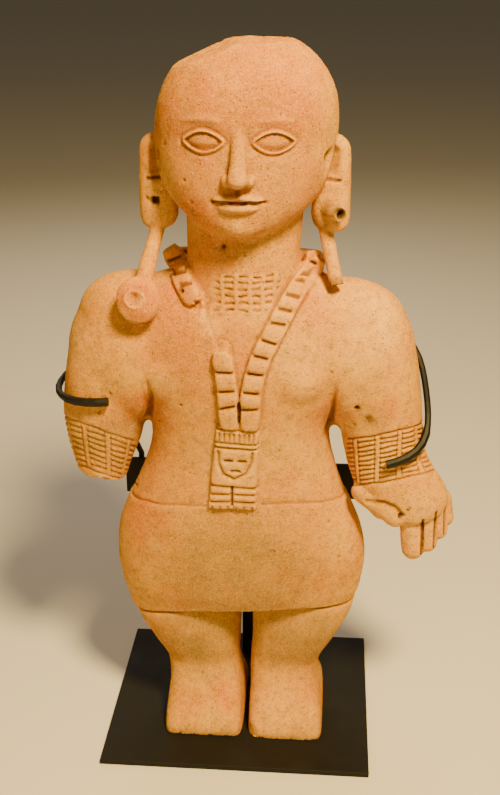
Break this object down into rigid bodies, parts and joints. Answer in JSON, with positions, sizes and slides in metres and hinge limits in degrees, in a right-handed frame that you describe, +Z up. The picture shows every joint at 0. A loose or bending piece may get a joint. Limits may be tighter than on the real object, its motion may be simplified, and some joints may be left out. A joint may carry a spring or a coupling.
{
  "type": "female figurine",
  "caption": "Standing fired-clay female figurine with tablet necklace, pendant, ear ornaments and tight skirt, right forearm broken off, held by a black steel stand.",
  "frame": {"origin": "centre of the stand's base plate, on its underside", "axes": "+Z up along the figure, the figure faces -Y, its left hand is towards +X"},
  "size_m": [0.2172, 0.127, 0.383],
  "materials": {
    "fired_clay": "matte, unglazed",
    "painted_steel": "satin"
  },
  "bodies": {
    "root": {"figurine": "fired_clay", "stand_base": "painted_steel", "stand_post": "painted_steel", "stand_crossbar": "painted_steel", "stand_hook_right_arm": "painted_steel", "stand_hook_left_arm": "painted_steel"}
  },
  "joints": []
}
